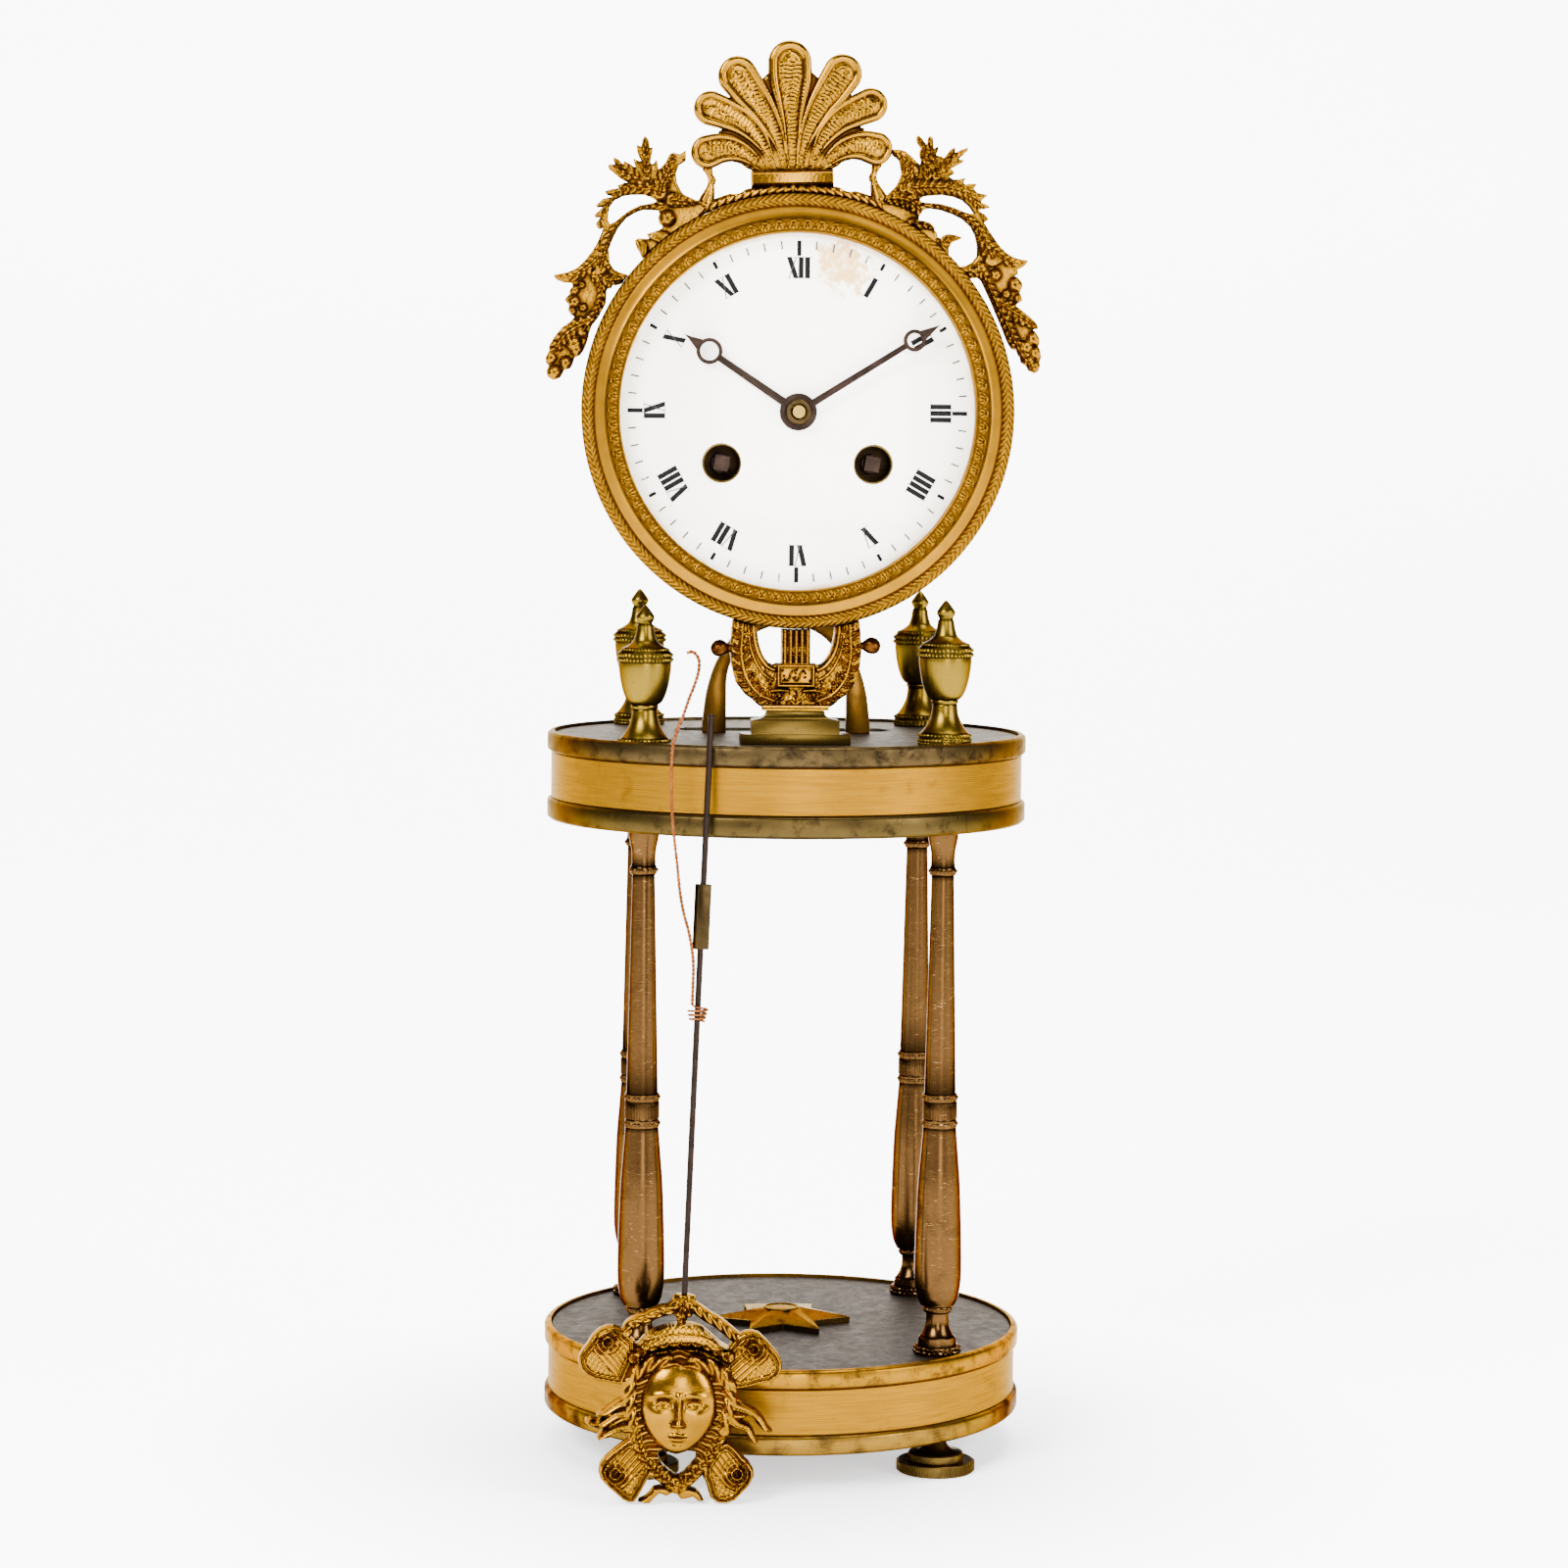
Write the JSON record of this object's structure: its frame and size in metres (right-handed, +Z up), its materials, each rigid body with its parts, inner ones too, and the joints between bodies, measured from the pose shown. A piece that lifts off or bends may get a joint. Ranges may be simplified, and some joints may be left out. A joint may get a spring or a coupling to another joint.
{
  "type": "portico clock",
  "caption": "Portico mantel clock in gilt bronze: round base, columns and platform with urn finials, a lyre carrying the round head with its crest, and an unhooked mask pendulum",
  "frame": {"origin": "on the floor, under the middle of the whole object including the leaning pendulum", "axes": "+Z up, the dial faces -Y, +X to the right as seen from the front"},
  "size_m": [0.1516, 0.1644, 0.4345],
  "materials": {
    "gilt_bronze": "mercury-gilt bronze with brown patina in the hollows",
    "satin_brass": "worn satin brass",
    "column_bronze": "reddish-brown patinated brass",
    "dark_brass": "dark tarnished brass",
    "grey_plate": "dull grey-brown sheet brass",
    "dial_enamel": "cream vitreous enamel on copper",
    "movement_brass": "lacquered brass",
    "blued_steel": "dark blued steel",
    "bright_steel": "plain steel and bell metal",
    "copper_wire": "bare copper wire",
    "silk_thread": "undyed silk thread"
  },
  "bodies": {
    "stand": {"base_band": "gilt_bronze", "base_bottom_plate": "dark_brass", "base_lower_rim": "satin_brass", "base_star": "gilt_bronze", "base_top_plate": "grey_plate", "base_upper_rim": "gilt_bronze", "bell": "bright_steel", "bell_stand": "movement_brass", "bezel": "gilt_bronze", "column_back_left": "column_bronze", "column_back_right": "column_bronze", "column_front_left": "column_bronze", "column_front_right": "column_bronze", "crest_left_spray": "gilt_bronze", "crest_palmette": "gilt_bronze", "crest_right_spray": "gilt_bronze", "dial": "dial_enamel", "dial_plate": "movement_brass", "door_hinge_pin": "bright_steel", "finial_back_left": "satin_brass", "finial_back_right": "satin_brass", "finial_front_left": "satin_brass", "finial_front_right": "satin_brass", "foot_back_left": "satin_brass", "foot_back_right": "satin_brass", "foot_front_left": "satin_brass", "foot_front_right": "satin_brass", "going_barrel": "movement_brass", "head_case": "gilt_bronze", "lyre": "gilt_bronze", "lyre_plinth": "gilt_bronze", "movement_back_plate": "movement_brass", "movement_front_plate": "movement_brass", "platform_band": "gilt_bronze", "platform_bottom_plate": "dark_brass", "platform_lower_rim": "satin_brass", "platform_top_plate": "grey_plate", "platform_upper_rim": "dark_brass", "rear_arch": "dark_brass", "striking_barrel": "movement_brass", "suspension_cock": "movement_brass", "suspension_loop": "silk_thread"},
    "minute_hand": {"cannon_pinion": "movement_brass", "minute_hand": "blued_steel", "hand_collet": "satin_brass"},
    "hour_hand": {"hour_wheel": "movement_brass", "hour_hand": "blued_steel"},
    "minute_wheel": {"minute_wheel": "movement_brass"},
    "going_arbor": {"going_arbor": "blued_steel"},
    "striking_arbor": {"striking_arbor": "blued_steel"},
    "crutch": {"crutch": "blued_steel"},
    "count_wheel": {"count_wheel": "movement_brass"},
    "hammer": {"hammer": "blued_steel"},
    "rear_door": {"rear_door": "gilt_bronze"},
    "pendulum": {"pendulum_bob": "gilt_bronze", "pendulum_rod": "blued_steel", "pendulum_guide": "dark_brass", "pendulum_knot": "copper_wire", "pendulum_tie_wire": "copper_wire"}
  },
  "joints": [
    {"name": "minute_hand_turn", "type": "hinge", "parent": "stand", "child": "minute_hand", "pos_m": [0.00077, -0.0378, 0.3239], "axis": [0, 1, 0], "continuous": true},
    {"name": "hour_hand_turn", "type": "hinge", "parent": "stand", "child": "hour_hand", "pos_m": [0.00077, -0.0368, 0.3239], "axis": [0, 1, 0], "continuous": true},
    {"name": "minute_wheel_turn", "type": "hinge", "parent": "stand", "child": "minute_wheel", "pos_m": [0.00077, -0.0298, 0.3359], "axis": [0, 1, 0], "continuous": true},
    {"name": "going_winding", "type": "hinge", "parent": "stand", "child": "going_arbor", "pos_m": [0.02357, -0.0328, 0.3084], "axis": [0, 1, 0], "range_deg": [0, 1440]},
    {"name": "striking_winding", "type": "hinge", "parent": "stand", "child": "striking_arbor", "pos_m": [-0.02203, -0.0328, 0.3084], "axis": [0, -1, 0], "range_deg": [0, 1440]},
    {"name": "crutch_swing", "type": "hinge", "parent": "stand", "child": "crutch", "pos_m": [0.00077, 0.0142, 0.3539], "axis": [0, 1, 0], "range_deg": [-4, 4]},
    {"name": "count_wheel_turn", "type": "hinge", "parent": "stand", "child": "count_wheel", "pos_m": [-0.02203, 0.0166, 0.3084], "axis": [0, 1, 0], "continuous": true},
    {"name": "hammer_lift", "type": "hinge", "parent": "stand", "child": "hammer", "pos_m": [-0.03523, 0.0142, 0.3379], "axis": [0, 1, 0], "range_deg": [0, 12]},
    {"name": "rear_door_hinge", "type": "hinge", "parent": "stand", "child": "rear_door", "pos_m": [-0.05883, 0.0577, 0.3239], "axis": [0, 0, 1], "range_deg": [0, 110]},
    {"name": "pendulum_lift", "type": "slide", "parent": "stand", "child": "pendulum", "axis": [0, 0, 1], "range_m": [0, 0.25]}
  ],
  "couplings": [
    {"joint": "minute_wheel_turn", "follows": "minute_hand_turn", "ratio": -0.33333},
    {"joint": "hour_hand_turn", "follows": "minute_hand_turn", "ratio": 0.083333}
  ]
}
